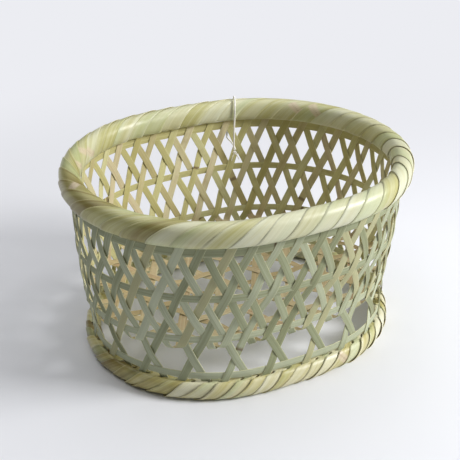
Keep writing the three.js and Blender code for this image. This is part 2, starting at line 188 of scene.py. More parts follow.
def tube_faces(rings, sides, closed):
    """Four-sided faces between neighbouring rings, with end caps on an open tube."""
    ring = np.arange(rings if closed else rings - 1)[:, None]
    side = np.arange(sides)[None, :]
    here = ring * sides
    there = (ring + 1) % rings * sides
    after = (side + 1) % sides
    corners = [here + side, here + after, there + after, there + side]
    faces = np.stack(corners, axis=-1).reshape(-1, 4).tolist()
    if not closed:
        faces.append(list(range(sides))[::-1])
        faces.append(list(range((rings - 1) * sides, rings * sides)))
    return faces


def tube_part(points, across, skin, length, closed=False, tone=0.5, marks=0.0):
    """One closed surface from rings of points (rings, sides, 3), with its UV and its marks.

    length (rings,) is the UV's first value, across (sides,) its second, and skin (sides,) 1 on the skin.
    """
    rings, sides = points.shape[:2]
    spread = np.ones((rings, sides))
    marks = np.asarray(marks)
    marks = marks if marks.ndim == 2 else np.reshape(marks, (-1, 1))
    middle = points.mean(axis=1, keepdims=True)
    step = np.roll(middle, -1, axis=0) - middle
    turn = np.cross(points - middle, np.roll(points, -1, axis=1) - middle)
    outward = (turn[:-1] * step[:-1]).sum() > 0
    faces = tube_faces(rings, sides, closed)
    return {
        "points": points.reshape(-1, 3),
        "faces": faces if outward else [face[::-1] for face in faces],
        "uv": np.stack([spread * length[:, None] * MM, spread * across[None, :]], axis=-1).reshape(-1, 2),
        "skin": (spread * skin[None, :]).ravel(),
        "tone": (spread * np.reshape(tone, (-1, 1))).ravel(),
        "joint_mark": (spread * marks).ravel(),
    }


def path_length(path):
    """Distance along a path at each of its points: the running sum of its steps."""
    steps = np.linalg.norm(np.diff(path, axis=0), axis=1)
    return np.concatenate([[0], np.cumsum(steps)])


STRIP_JOINT_HALF_WIDTH = 2.2
STRIP_JOINT_CHANCE = 0.3
STRIP_JOINT_SPAN = (0.1, 0.9)


def ribbon(path, facing, half_width, thickness, closed=False, tone=0.5, joint_places=()):
    """Flat strip along a path: point = path + across * half width * x + out * thickness * y, where
    across = along x facing and out = across x along."""
    if closed:
        along = np.roll(path, -1, axis=0) - np.roll(path, 1, axis=0)
    else:
        along = np.gradient(path, axis=0)
    across = unit(np.cross(along, facing))
    out = unit(np.cross(across, along))
    wide = np.broadcast_to(half_width, len(path))[:, None, None] * STRIP_SECTION[None, :, :1]
    thick = thickness * STRIP_SECTION[None, :, 1:]
    points = path[:, None] + across[:, None] * wide + out[:, None] * thick
    skin = (STRIP_SECTION[:, 1] > 0).astype(float)
    length = path_length(path)
    marks = np.zeros(len(path))
    if len(joint_places):
        marks = bands(length, joint_places, STRIP_JOINT_HALF_WIDTH)
    return tube_part(points, STRIP_SECTION[:, 0], skin, length, closed, tone, marks)


def strip_joints(longest):
    """Places along a strip where a joint of the bamboo stem left its mark, if it has one."""
    has_joint = rng.random() < STRIP_JOINT_CHANCE
    return [rng.uniform(*STRIP_JOINT_SPAN) * longest] if has_joint else []


def put_piece(name, parts, finish, slot, *nodes):
    """Mesh of one or more closed surfaces, which rides on the basket and stands for CAD nodes."""
    starts = np.cumsum([0] + [len(part["points"]) for part in parts])
    faces = []
    for part, start in zip(parts, starts):
        faces += [[index + int(start) for index in face] for face in part["faces"]]
    mesh = bpy.data.meshes.new(name)
    mesh.from_pydata((np.concatenate([part["points"] for part in parts]) * MM).tolist(), [], faces)
    uv = np.concatenate([part["uv"] for part in parts])
    corner = np.empty(len(mesh.loops), dtype=np.int32)
    mesh.loops.foreach_get("vertex_index", corner)
    mesh.uv_layers.new(name="strip").data.foreach_set("uv", uv[corner].ravel())
    for mark in ("skin", "tone", "joint_mark"):
        values = np.concatenate([part[mark] for part in parts])
        mesh.attributes.new(mark, "FLOAT", "POINT").data.foreach_set("value", values)
    mesh.polygons.foreach_set("use_smooth", np.ones(len(mesh.polygons), dtype=bool))
    mesh.materials.append(finish)
    mesh.update()
    piece = bpy.data.objects.new(name, mesh)
    bpy.context.scene.collection.objects.link(piece)
    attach(piece, "root")
    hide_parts(*nodes)
    return piece


# Camera: fitted to the photograph's outline of the rim, the foot and the hoops.
IMAGE_SIZE = 460
CAMERA_TARGET = (0, 0, 118)
CAMERA_DISTANCE = 1000
CAMERA_AZIMUTH = math.radians(-27.56)
CAMERA_ELEVATION = math.radians(28.03)
CAMERA_ROLL = math.radians(0.17)
CAMERA_FOCAL_PIXELS = 905.1
CAMERA_CENTRE_PIXEL = (238.2, 227.2)
SENSOR_WIDTH = 36


def make_camera():
    """Camera at its distance, azimuth and elevation from its target, shifted and rolled to fit."""
    lens = bpy.data.cameras.new("camera")
    lens.sensor_width = SENSOR_WIDTH
    lens.lens = SENSOR_WIDTH * CAMERA_FOCAL_PIXELS / IMAGE_SIZE
    lens.shift_x = (IMAGE_SIZE / 2 - CAMERA_CENTRE_PIXEL[0]) / IMAGE_SIZE
    lens.shift_y = (CAMERA_CENTRE_PIXEL[1] - IMAGE_SIZE / 2) / IMAGE_SIZE
    camera = bpy.data.objects.new("camera", lens)
    back = Vector((
        math.sin(CAMERA_AZIMUTH) * math.cos(CAMERA_ELEVATION),
        -math.cos(CAMERA_AZIMUTH) * math.cos(CAMERA_ELEVATION),
        math.sin(CAMERA_ELEVATION),
    ))
    turn = back.to_track_quat("Z", "Y").to_matrix().to_4x4() @ Matrix.Rotation(CAMERA_ROLL, 4, "Z")
    place = (Vector(CAMERA_TARGET) + back * CAMERA_DISTANCE) * MM
    camera.matrix_world = Matrix.Translation(place) @ turn
    bpy.context.scene.collection.objects.link(camera)
    bpy.context.scene.camera = camera


# Materials.
def srgb(red, green, blue):
    """Linear colour of an sRGB one given from 0 to 255."""
    share = np.array([red, green, blue]) / 255
    linear = np.where(share <= 0.04045, share / 12.92, ((share + 0.055) / 1.055) ** 2.4)
    return (*linear.tolist(), 1.0)


class Finish:
    """A material's node tree, with short ways to add the nodes that bamboo and cotton need."""

    def __init__(self, name, roughness, specular):
        self.material = bpy.data.materials.new(name)
        self.material.use_nodes = True
        self.tree = self.material.node_tree
        self.shader = self.tree.nodes["Principled BSDF"]
        self.shader.inputs["Roughness"].default_value = roughness
        self.shader.inputs["Specular IOR Level"].default_value = specular

    def add(self, kind, inputs=(), **settings):
        """New node; an input's value is a number, a tuple or another node's output."""
        made = self.tree.nodes.new(kind)
        for key, value in settings.items():
            setattr(made, key, value)
        for key, value in dict(inputs).items():
            if isinstance(value, bpy.types.NodeSocket):
                self.tree.links.new(value, made.inputs[key])
            else:
                made.inputs[key].default_value = value
        return made

    def mark(self, name):
        """Value of one of the mesh's own marks."""
        return self.add("ShaderNodeAttribute", attribute_name=name).outputs["Fac"]

    def combine(self, operation, first, second):
        """Result of one sum on two values."""
        return self.add("ShaderNodeMath", {0: first, 1: second}, operation=operation).outputs[0]

    def span(self, value, low, high, to_low=0.0, to_high=1.0):
        """Value carried from one span to another, eased and held at the ends."""
        inputs = {
            "Value": value, "From Min": low, "From Max": high, "To Min": to_low, "To Max": to_high,
        }
        return self.add("ShaderNodeMapRange", inputs, interpolation_type="SMOOTHSTEP").outputs["Result"]

    def mix(self, share, first, second, blend="MIX"):
        """Second colour over the first by a share."""
        inputs = {0: share, 6: first, 7: second}
        return self.add("ShaderNodeMix", inputs, data_type="RGBA", blend_type=blend).outputs[2]

    def ramp(self, value, *stops):
        """Colour ramp through (place, colour) stops."""
        made = self.add("ShaderNodeValToRGB", {"Fac": value})
        elements = made.color_ramp.elements
        while len(elements) < len(stops):
            elements.new(0.5)
        for element, (place, colour) in zip(elements, stops):
            element.position = place
            element.color = colour
        return made.outputs["Color"]

    def strip_place(self):
        """Distance along the strip in metres, and place across it from -1 to 1."""
        layer = self.add("ShaderNodeUVMap", uv_map="strip")
        parts = self.add("ShaderNodeSeparateXYZ", {"Vector": layer.outputs["UV"]})
        return parts.outputs["X"], parts.outputs["Y"]

    def fibres(self, along, across, layer, per_metre, per_half_width, detail=4.0):
        """Noise drawn out along the strip, so many per metre along it and per half width across it."""
        place = self.add("ShaderNodeCombineXYZ", {
            "X": self.combine("MULTIPLY", along, per_metre),
            "Y": self.combine("MULTIPLY", across, per_half_width),
            "Z": layer,
        })
        inputs = {"Vector": place.outputs["Vector"], "Scale": 1.0, "Detail": detail, "Roughness": 0.6}
        return self.add("ShaderNodeTexNoise", inputs).outputs["Fac"]

    def blotches(self, per_metre, detail=3.0):
        """Even noise, so many per metre."""
        place = self.add("ShaderNodeTexCoord").outputs["Object"]
        inputs = {"Vector": place, "Scale": per_metre, "Detail": detail, "Roughness": 0.55}
        return self.add("ShaderNodeTexNoise", inputs).outputs["Fac"]

    def bump(self, height, distance, strength=1.0):
        inputs = {"Height": height, "Distance": distance, "Strength": strength}
        made = self.add("ShaderNodeBump", inputs)
        self.tree.links.new(made.outputs["Normal"], self.shader.inputs["Normal"])

    def colour(self, value):
        self.tree.links.new(value, self.shader.inputs["Base Color"])

    def rough(self, value):
        self.tree.links.new(value, self.shader.inputs["Roughness"])


# Colours that the finishes mix in.
OLIVE_STRIP = srgb(166, 154, 88)
SPLIT_BLOTCH = srgb(158, 138, 98)
STRIP_FIBRE = srgb(92, 88, 58)
# Pale cream of the strips' long edges: a painted highlight.
STRIP_EDGE_HIGHLIGHT = srgb(222, 219, 178)
STRIP_JOINT = srgb(96, 66, 42)
GREEN_PASS = srgb(186, 198, 148)
WINDING_FIBRE = srgb(150, 146, 92)
# Pale cream of the windings' edges: a painted highlight.
WINDING_EDGE_HIGHLIGHT = srgb(238, 233, 200)
WINDING_BACK = srgb(176, 160, 108)
JOINT_BAND = srgb(216, 199, 172)
JOINT_LINE = srgb(172, 146, 116)
CORE_DARK = srgb(150, 128, 80)
CORE_PALE = srgb(196, 176, 122)
COTTON_SHADE = srgb(244, 241, 234)
COTTON_WHITE = srgb(255, 254, 250)

# Noise along strips: how many per metre along them and per half width across them, and its detail.
STRIP_FIBRES = (14.0, 7.0)
STRIP_STREAKS = (5.0, 2.2, 2.0)
WINDING_FIBRES = (9.0, 22.0)
WINDING_STREAKS = (4.0, 1.6, 3.0)
GREEN_STREAKS = (6.0, 0.4, 1.0)
TONE_LAYERS = 40.0
FIBRE_LAYER = 0.0
STREAK_LAYER = 7.0
GREEN_LAYER = 21.0

# Other noise, in counts per metre, and depths of relief in metres.
SPLIT_BLOTCHES = 45.0
CORE_GRAIN = 160.0
COTTON_FUZZ = 1500.0
STRIP_RELIEF = 0.00012
WINDING_RELIEF = 0.00015
CORE_RELIEF = 0.0005
COTTON_RELIEF = 0.0003
STRIP_STREAK_SWING = 0.12
WINDING_STREAK_SWING = 0.14
WINDING_GLOSS = 0.34
WINDING_GLOSS_RANGE = 0.16


def strip_finish(name, skin_stops, inside_stops, base_stops=None):
    """Split bamboo strip: a matt skin outside, a browner split face inside, fine fibres, and pale edges
    that are a painted highlight.
    With base stops, the split face goes over to them on the base."""
    look = Finish(name, 0.6, 0.4)
    along, across = look.strip_place()
    tone = look.mark("tone")
    own = look.combine("MULTIPLY", tone, TONE_LAYERS)
    fibre = look.fibres(along, across, own, *STRIP_FIBRES)
    streak = look.fibres(along, across, own, *STRIP_STREAKS)
    blotch = look.blotches(SPLIT_BLOTCHES)
    swing = look.span(streak, 0.3, 0.7, -STRIP_STREAK_SWING, STRIP_STREAK_SWING)
    shade = look.combine("ADD", tone, swing)
    skin = look.ramp(shade, *skin_stops)
    skin = look.mix(look.span(tone, 0.84, 0.88, 0.0, 0.5), skin, OLIVE_STRIP)
    inside = look.ramp(shade, *inside_stops)
    if base_stops:
        place = look.add("ShaderNodeTexCoord").outputs["Object"]
        height = look.add("ShaderNodeSeparateXYZ", {"Vector": place}).outputs["Z"]
        up_wall = look.span(height, BASE_TINT_LOW, BASE_TINT_HIGH)
        inside = look.mix(up_wall, look.ramp(shade, *base_stops), inside)
    inside = look.mix(look.span(blotch, 0.55, 0.75, 0.0, 0.35), inside, SPLIT_BLOTCH)
    colour = look.mix(look.mark("skin"), inside, skin)
    colour = look.mix(look.span(fibre, 0.35, 0.75, 0.0, 0.14), colour, STRIP_FIBRE, "MULTIPLY")
    # Pale band along both long edges: painted highlight, as if each edge caught the light.
    edge = look.span(look.combine("ABSOLUTE", across, 0.0), 0.83, 1.0, 0.0, 0.55)
    colour = look.mix(edge, colour, STRIP_EDGE_HIGHLIGHT)
    colour = look.mix(look.span(look.mark("joint_mark"), 0.25, 0.9, 0.0, 0.8), colour, STRIP_JOINT)
    look.colour(colour)
    look.rough(look.span(fibre, 0.3, 0.7, 0.48, 0.66))
    look.bump(fibre, STRIP_RELIEF)
    return look.material


def winding_finish(name, stops):
    """Bamboo skin wound round the rim or the foot: satin, with fibres and greener stretches along it, and
    stem joints as beige bands with a brown line."""
    look = Finish(name, 0.4, 0.3)
    along, across = look.strip_place()
    tone = look.mark("tone")
    fibre = look.fibres(along, across, FIBRE_LAYER, *WINDING_FIBRES)
    streak = look.fibres(along, across, STREAK_LAYER, *WINDING_STREAKS)
    swing = look.span(streak, 0.3, 0.7, -WINDING_STREAK_SWING, WINDING_STREAK_SWING)
    shade = look.combine("ADD", tone, swing)
    colour = look.ramp(shade, *stops)
    green = look.fibres(along, across, GREEN_LAYER, *GREEN_STREAKS)
    colour = look.mix(look.span(green, 0.5, 0.66, 0.0, 0.45), colour, GREEN_PASS)
    colour = look.mix(look.span(fibre, 0.4, 0.75, 0.0, 0.2), colour, WINDING_FIBRE, "MULTIPLY")
    # Pale lines along both edges of the winding: painted highlight, as if each lapped edge caught the
    # light.
    edge = look.span(look.combine("ABSOLUTE", across, 0.0), 0.93, 1.0, 0.0, 0.4)
    colour = look.mix(edge, colour, WINDING_EDGE_HIGHLIGHT)
    joint = look.mark("joint_mark")
    colour = look.mix(look.span(joint, 0.1, 0.6, 0.0, 0.75), colour, JOINT_BAND)
    colour = look.mix(look.span(joint, 0.8, 0.97, 0.0, 0.7), colour, JOINT_LINE)
    colour = look.mix(look.mark("skin"), WINDING_BACK, colour)
    look.colour(colour)
    look.rough(look.span(fibre, 0.3, 0.7, WINDING_GLOSS, WINDING_GLOSS + WINDING_GLOSS_RANGE))
    look.shader.inputs["Coat Weight"].default_value = 0.5
    look.shader.inputs["Coat Roughness"].default_value = WINDING_GLOSS
    look.bump(fibre, WINDING_RELIEF)
    return look.material


def core_finish():
    """Rough split bamboo of the hoops inside the rim and the foot."""
    look = Finish("core_bamboo", 0.75, 0.3)
    grain = look.blotches(CORE_GRAIN, 5.0)
    look.colour(look.ramp(grain, (0.3, CORE_DARK), (0.7, CORE_PALE)))
    look.bump(grain, CORE_RELIEF)
    return look.material


def cotton_finish():
    """White twisted cotton."""
    look = Finish("white_cotton", 0.9, 0.2)
    fuzz = look.blotches(COTTON_FUZZ, 2.0)
    look.colour(look.ramp(fuzz, (0.3, COTTON_SHADE), (0.7, COTTON_WHITE)))
    look.bump(fuzz, COTTON_RELIEF)
    look.shader.inputs["Sheen Weight"].default_value = 0.3
    return look.material


# Stops of the finishes by tone, and the heights in metres between which base strips change theirs.
BASE_TINT_LOW = 0.056
BASE_TINT_HIGH = 0.074
WALL_SKIN = (
    (0.0, srgb(129, 132, 92)),
    (0.4, srgb(159, 164, 130)),
    (0.8, srgb(192, 197, 167)),
)
WALL_INSIDE = (
    (0.0, srgb(186, 177, 116)),
    (0.4, srgb(203, 197, 140)),
    (0.75, srgb(214, 211, 162)),
    (1.0, srgb(206, 197, 144)),
)
BASE_INSIDE = (
    (0.0, srgb(180, 161, 119)),
    (0.4, srgb(195, 176, 136)),
    (0.75, srgb(210, 196, 157)),
    (1.0, srgb(186, 158, 123)),
)
SPLIT_INSIDE = (
    (0.0, srgb(188, 176, 122)),
    (0.4, srgb(203, 192, 146)),
    (0.75, srgb(214, 206, 166)),
    (1.0, srgb(203, 187, 150)),
)
RIM_SKIN = (
    (0.0, srgb(141, 128, 68)),
    (0.3, srgb(190, 186, 124)),
    (0.65, srgb(216, 215, 180)),
    (1.0, srgb(221, 223, 197)),
)
FOOT_SKIN = (
    (0.0, srgb(134, 117, 56)),
    (0.3, srgb(198, 188, 122)),
    (0.65, srgb(226, 221, 184)),
    (1.0, srgb(230, 229, 204)),
)
wall_bamboo = strip_finish("wall_bamboo", WALL_SKIN, WALL_INSIDE)
base_bamboo = strip_finish("base_bamboo", WALL_SKIN, SPLIT_INSIDE, BASE_INSIDE)
hoop_bamboo = strip_finish("hoop_bamboo", WALL_SKIN, WALL_INSIDE)
rim_bamboo = winding_finish("rim_bamboo", RIM_SKIN)
foot_bamboo = winding_finish("foot_bamboo", FOOT_SKIN)
core_bamboo = core_finish()
white_cotton = cotton_finish()

# Wall of the basket.
STRIP_TOP = HEIGHT - RIM_DEPTH + STRIP_IN_RIM
STRIP_BOTTOM = FOOT_DEPTH - STRIP_IN_FOOT
BASE_Z = BASE_HOOP_Z - BASE_DROP
LAST_WALL_ROW = 4
FOOT_ROW = 5
TOP_RISE = (TOP_HOOP_Z - MIDDLE_HOOP_Z) / 2
LOW_RISE = BASE_HOOP_Z - FOOT_CROSSING_Z
WALL_HEIGHTS = (STRIP_BOTTOM, FOOT_CROSSING_Z, BASE_HOOP_Z, MIDDLE_HOOP_Z, TOP_HOOP_Z, STRIP_TOP)
WALL_ROWS = (
    LAST_WALL_ROW + (BASE_HOOP_Z - STRIP_BOTTOM) / LOW_RISE, FOOT_ROW, LAST_WALL_ROW, 2, 0,
    (TOP_HOOP_Z - STRIP_TOP) / TOP_RISE,
)
PROFILE_HEIGHTS = (0, FOOT_HOOP_Z + HOOP_WIDTH / 2, BASE_HOOP_Z, MIDDLE_HOOP_Z, TOP_HOOP_Z, HEIGHT)
PROFILE_INSETS = np.array([FOOT_INSET, FOOT_INSET, BASE_INSET, MIDDLE_INSET, ON_RIM, ON_RIM])
PROFILE_EASE = np.linspace(-8, 8, 9)
KIND_SHIFT = 0.06
STRIP_WANDER = 0.028
STRIP_WANDER_KNOTS = 7
STRIP_TONES = (0.05, 0.95)
WIDTH_SPREAD = 0.06
WIDTH_WANDER = 0.04
WIDTH_WANDER_STEP = 40
WIDTH_WANDER_KNOTS = 20


def wall_inset(z):
    """Inset at the ends and at the sides: straight between the profile's heights, with the bends eased
    by a mean over a few millimetres."""
    near = np.asarray(z)[..., None] + PROFILE_EASE
    return tuple(np.interp(near, PROFILE_HEIGHTS, insets).mean(axis=-1) for insets in PROFILE_INSETS.T)


def rows_at(z):
    """Rows of the weave below the top hoop, straight between the heights where they are known."""
    return np.interp(z, WALL_HEIGHTS, WALL_ROWS)


def wall_strip(lean, index, z, shift):
    """Path down the wall: station = index - lean * row / 2, depth = lean * cos(pi * row) * weave depth.
    So the strip passes outside one row and inside the next."""
    row = rows_at(z)
    foot_hoop_row = rows_at(FOOT_HOOP_Z)
    phase = np.clip(row, 0, FOOT_ROW) + np.clip((row - FOOT_ROW) / (foot_hoop_row - FOOT_ROW), 0, 1)
    depth = lean * WEAVE_DEPTH * np.cos(math.pi * phase)
    aside = wander(np.clip(row + 1, 0, STRIP_WANDER_KNOTS), STRIP_WANDER_KNOTS, STRIP_WANDER)
    station = index - lean * row / 2 + shift + aside
    return oval(station, depth, z, wall_inset(z))


def strip_half_width(length):
    """Half the width, times 1 + the strip's own spread + a slow wandering along it."""
    own = rng.uniform(-WIDTH_SPREAD, WIDTH_SPREAD)
    along = wander(length / WIDTH_WANDER_STEP, WIDTH_WANDER_KNOTS, WIDTH_WANDER)
    return STRIP_WIDTH / 2 * (1 + own + along)


def make_foot_pairs():
    """Two crossing strips to a piece, each from the rim past the base down into the foot."""
    z = np.linspace(STRIP_TOP, STRIP_BOTTOM, int((STRIP_TOP - STRIP_BOTTOM) / STATION_STEP))
    for k in range(STRIPS_EACH_WAY // 2):
        parts = []
        for lean, index in ((BACKSLASH, 2 * k + 1), (SLASH, 2 * k + 4)):
            path, normal = wall_strip(lean, index, z, -KIND_SHIFT)
            length = path_length(path)
            parts.append(ribbon(
                path, normal, strip_half_width(length), STRIP_THICKNESS,
                tone=rng.uniform(*STRIP_TONES), joint_places=strip_joints(length[-1]),
            ))
        name = f"foot_strip_pair_{k + 1:02d}"
        put_piece(f"{name}_bamboo", parts, wall_bamboo, "wall_bamboo", name)


# Base strips.
SECTOR_SIZES = (SECTOR_ENDS, SIDE_ENDS, SECTOR_ENDS, SECTOR_ENDS, SIDE_ENDS, SECTOR_ENDS)
FAMILIES = 3
LINE_STEPS = 48
CORNER_STEPS = 14
CORNER_HANDLE = 0.55
BEND_TOP = BASE_HOOP_Z - HOOP_WIDTH / 2 - 1
BEND_REACH = 7
DOWN = np.array([0.0, 0.0, -1.0])


def base_ends():
    """Ends of the base strips in order round the base hoop: lean, index, family and the lip in plan."""
    sectors = np.repeat(np.arange(len(SECTOR_SIZES)), 2 * np.array(SECTOR_SIZES))
    ends = []
    for position, sector in enumerate(sectors):
        lean = BACKSLASH if position % 2 == 0 else SLASH
        index = position + lean * LAST_WALL_ROW / 2
        row = LAST_WALL_ROW + (BASE_HOOP_Z - BASE_Z) / LOW_RISE
        lip, _ = oval(index - lean * row / 2 + KIND_SHIFT, -BASE_BEND, BASE_Z, BASE_INSET)
        family = (int(sector) + (lean == SLASH)) % FAMILIES
        ends.append({"lean": lean, "index": index, "family": family, "lip": lip})
    return ends


def base_pairs():
    """Ends joined across the base, family by family, in order of their distance to one side."""
    ends = base_ends()
    pairs = []
    for family in range(FAMILIES):
        angle = family * math.pi / FAMILIES
        along = np.array([math.cos(angle), math.sin(angle), 0])
        aside = np.array([-math.sin(angle), math.cos(angle), 0])
        own = [end for end in ends if end["family"] == family]
        own.sort(key=lambda end: end["lip"] @ aside)
        far = [end for end in own if end["lip"] @ along > 0]
        near = [end for end in own if end["lip"] @ along < 0]
        pairs += [{"family": family, "from": a, "to": b} for a, b in zip(far, near)]
    return pairs


def base_line(pair):
    """Plan line from lip to lip; the outermost strip on each long side bows by bow * (4 s (1 - s))^3."""
    share = np.linspace(0, 1, LINE_STEPS + 1)[:, None]
    line = pair["from"]["lip"] * (1 - share) + pair["to"]["lip"] * share
    side = pair["from"]["lip"][1]
    if pair["family"] == 0 and abs(side) > HALF_WIDTH / 2:
        line[:, 1] += np.sign(side) * BASE_BOW * (4 * share[:, 0] * (1 - share[:, 0])) ** 3
    return line


def crossings(line, other):
    """Places along a line, in steps, where it crosses another line in plan."""
    start, step = line[:-1, None, :2], np.diff(line[:, :2], axis=0)[:, None]
    begin, stride = other[None, :-1, :2], np.diff(other[:, :2], axis=0)[None]
    cross = step[..., 0] * stride[..., 1] - step[..., 1] * stride[..., 0]
    gap = begin - start
    share = (gap[..., 0] * stride[..., 1] - gap[..., 1] * stride[..., 0]) / cross
    reach = (gap[..., 0] * step[..., 1] - gap[..., 1] * step[..., 0]) / cross
    found = np.argwhere((share >= 0) & (share < 1) & (reach >= 0) & (reach < 1))
    return [i + share[i, j] for i, j in found]


def base_wave(pair, pairs):
    """Height of a base strip along its line: over the family before it and under the one after it, with
    half cosines from crossing to crossing."""
    knots = [(0, pair["from"]["lean"]), (LINE_STEPS, pair["to"]["lean"])]
    for other in pairs:
        if other["family"] == pair["family"]:
            continue
        over = (pair["family"] + 2) % FAMILIES == other["family"]
        knots += [(place, 1 if over else -1) for place in crossings(pair["line"], other["line"])]
    places, levels = np.array(sorted(knots)).T
    fine = np.linspace(0, LINE_STEPS, 4 * LINE_STEPS + 1)
    left = np.clip(np.searchsorted(places, fine, side="right") - 1, 0, len(places) - 2)
    ease = (1 - np.cos(math.pi * (fine - places[left]) / (places[left + 1] - places[left]))) / 2
    level = levels[left] * (1 - ease) + levels[left + 1] * ease
    steps = np.arange(LINE_STEPS + 1)
    plan = np.stack([np.interp(fine, steps, pair["line"][:, axis]) for axis in range(3)], axis=1)
    plan[:, 2] += BASE_WEAVE_DEPTH * level
    return plan


def corner(start, start_way, finish, finish_way):
    """Cubic curve from the wall into the base, with handles of a share of the gap along both ways."""
    share = np.linspace(0, 1, CORNER_STEPS + 1)[1:-1, None]
    handle = CORNER_HANDLE * np.linalg.norm(finish - start)
    first = start + start_way * handle
    second = finish - finish_way * handle
    back = 1 - share
    return (
        back**3 * start + 3 * back**2 * share * first + 3 * back * share**2 * second + share**3 * finish
    )


def base_end_path(end, base):
    """Wall and corner of one end of a base strip, from the rim to where the base line starts."""
    z = np.linspace(STRIP_TOP, BEND_TOP, int((STRIP_TOP - BEND_TOP) / STATION_STEP))
    wall, normal = wall_strip(end["lean"], end["index"], z, KIND_SHIFT)
    bend = corner(wall[-1], unit(wall[-1] - wall[-2]), base[0], unit(base[1] - base[0]))
    facing = np.concatenate([normal, np.broadcast_to(unit(normal[-1] + DOWN), bend.shape)])
    return np.concatenate([wall, bend]), facing


def even_steps(path, facing, step):
    """Path and facing at even steps along the path, eased over a few neighbours."""
    length = path_length(path)
    fine = np.linspace(0, length[-1], int(length[-1] / step))
    path = np.stack([np.interp(fine, length, path[:, axis]) for axis in range(3)], axis=1)
    facing = np.stack([np.interp(fine, length, facing[:, axis]) for axis in range(3)], axis=1)
    window = np.array([0.25, 0.5, 0.25])
    for _ in range(3):
        facing[1:-1] = window[0] * facing[:-2] + window[1] * facing[1:-1] + window[2] * facing[2:]
    path[1:-1] = window[0] * path[:-2] + window[1] * path[1:-1] + window[2] * path[2:]
    return path, unit(facing)


def make_base_strips():
    """Strips that run down one wall, across the base and up the opposite wall."""
    pairs = base_pairs()
    for pair in pairs:
        pair["line"] = base_line(pair)
    for k, pair in enumerate(pairs):
        tone = rng.uniform(*STRIP_TONES)
        line = base_wave(pair, pairs)
        reach = path_length(line)
        line = line[(reach > BEND_REACH) & (reach < reach[-1] - BEND_REACH)]
        first, first_facing = base_end_path(pair["from"], line)
        last, last_facing = base_end_path(pair["to"], line[::-1])
        path = np.concatenate([first, line, last[::-1]])
        facing = np.concatenate([first_facing, np.broadcast_to(DOWN, line.shape), last_facing[::-1]])
        path, facing = even_steps(path, facing, STATION_STEP)
        length = path_length(path)
        part = ribbon(
            path, facing, strip_half_width(length), STRIP_THICKNESS,
            tone=tone, joint_places=strip_joints(length[-1]),
        )
        name = f"base_strip_{k + 1:02d}"
        put_piece(f"{name}_bamboo", [part], base_bamboo, "base_bamboo", name)


# Hoops.
HOOP_STEPS = 440
HOOP_SWAY = 0.6
HOOP_WAVES = 3
HOOP_PHASE = 6
HOOP_TONES = (0.2, 0.8)
HOOP_JOINTS = 3


def make_hoops():
    """Thin hoops inside the weave: one flat strip round the oval each, which sways by a sine."""
    station = np.linspace(0, STRIPS_EACH_WAY, HOOP_STEPS, endpoint=False)
    for name in ("top_hoop", "middle_hoop", "base_hoop", "foot_hoop"):
        z = hoop_height(name)
        waves = 2 * math.pi * station * HOOP_WAVES / STRIPS_EACH_WAY
        sway = HOOP_SWAY * np.sin(waves + rng.uniform(0, HOOP_PHASE))
        path, normal = oval(station, 0, z + sway, wall_inset(z))
        part = ribbon(
            path, normal, hoop_width(name) / 2, HOOP_THICKNESS, closed=True,
            tone=rng.uniform(*HOOP_TONES), joint_places=rng.uniform(0, 4 * QUARTER, HOOP_JOINTS),
        )
        put_piece(f"{name}_bamboo", [part], hoop_bamboo, "hoop_bamboo", name)


# Rim and foot.
RIM = {
    "name": "rim", "inset": ON_RIM, "z": HEIGHT - RIM_DEPTH / 2, "half_width": RIM_WIDTH / 2,
    "half_depth": RIM_DEPTH / 2, "thread": -1,
}
FOOT = {
    "name": "foot", "inset": FOOT_INSET, "z": FOOT_DEPTH / 2, "half_width": FOOT_WIDTH / 2,
    "half_depth": FOOT_DEPTH / 2, "thread": 1,
}
ROUNDNESS = 2.25
CORE_GAP = 1.6
SLOT_HALF = WEAVE_DEPTH + STRIP_THICKNESS
CORE_STEPS = 24
CORE_EDGE = 0.06


def round_section(turn):
    """Rounded oblong r = (|sin|^n + |cos|^n)^(-1/n), as shares of the half width and the half depth."""
    radius = (np.abs(np.sin(turn)) ** ROUNDNESS + np.abs(np.cos(turn)) ** ROUNDNESS) ** (-1 / ROUNDNESS)
    return radius * np.sin(turn), radius * np.cos(turn)


def make_core(bundle, side, name):
    """Half-round hoop that clamps the strips' ends from one side."""
    turn = np.linspace(CORE_EDGE * math.pi, (1 - CORE_EDGE) * math.pi, CORE_STEPS)
    across, up = round_section(turn)
    wide = np.maximum(across * (bundle["half_width"] - CORE_GAP), SLOT_HALF)
    tall = up * (bundle["half_depth"] - CORE_GAP)
    station = np.linspace(0, STRIPS_EACH_WAY, HOOP_STEPS, endpoint=False)
    points, _ = oval(station[:, None], side * wide[None], bundle["z"] + tall[None], bundle["inset"])
    share = np.linspace(-1, 1, CORE_STEPS)
    part = tube_part(points, share, np.ones(CORE_STEPS), station * PITCH, closed=True)
    put_piece(f"{name}_bamboo", [part], core_bamboo, "split_core", name)


WINDING_ROUNDS = 3
WINDING_STEPS = 44
WINDING_ACROSS = 11
WINDING_THICKNESS = 0.55
WINDING_JOINT_HALF_WIDTH = 4.2
FIRST_GAP = 0.5
WINDING_END = 0.03
PASS_TONE = 0.62
PASS_TONE_SWING = 0.26


def ring_bands(station, places, reach):
    """Sum of bell curves round places on the ring of stations."""
    turns = STRIPS_EACH_WAY * np.array([-1, 0, 1])
    return bands(station % STRIPS_EACH_WAY, np.add.outer(places, turns).ravel(), reach)


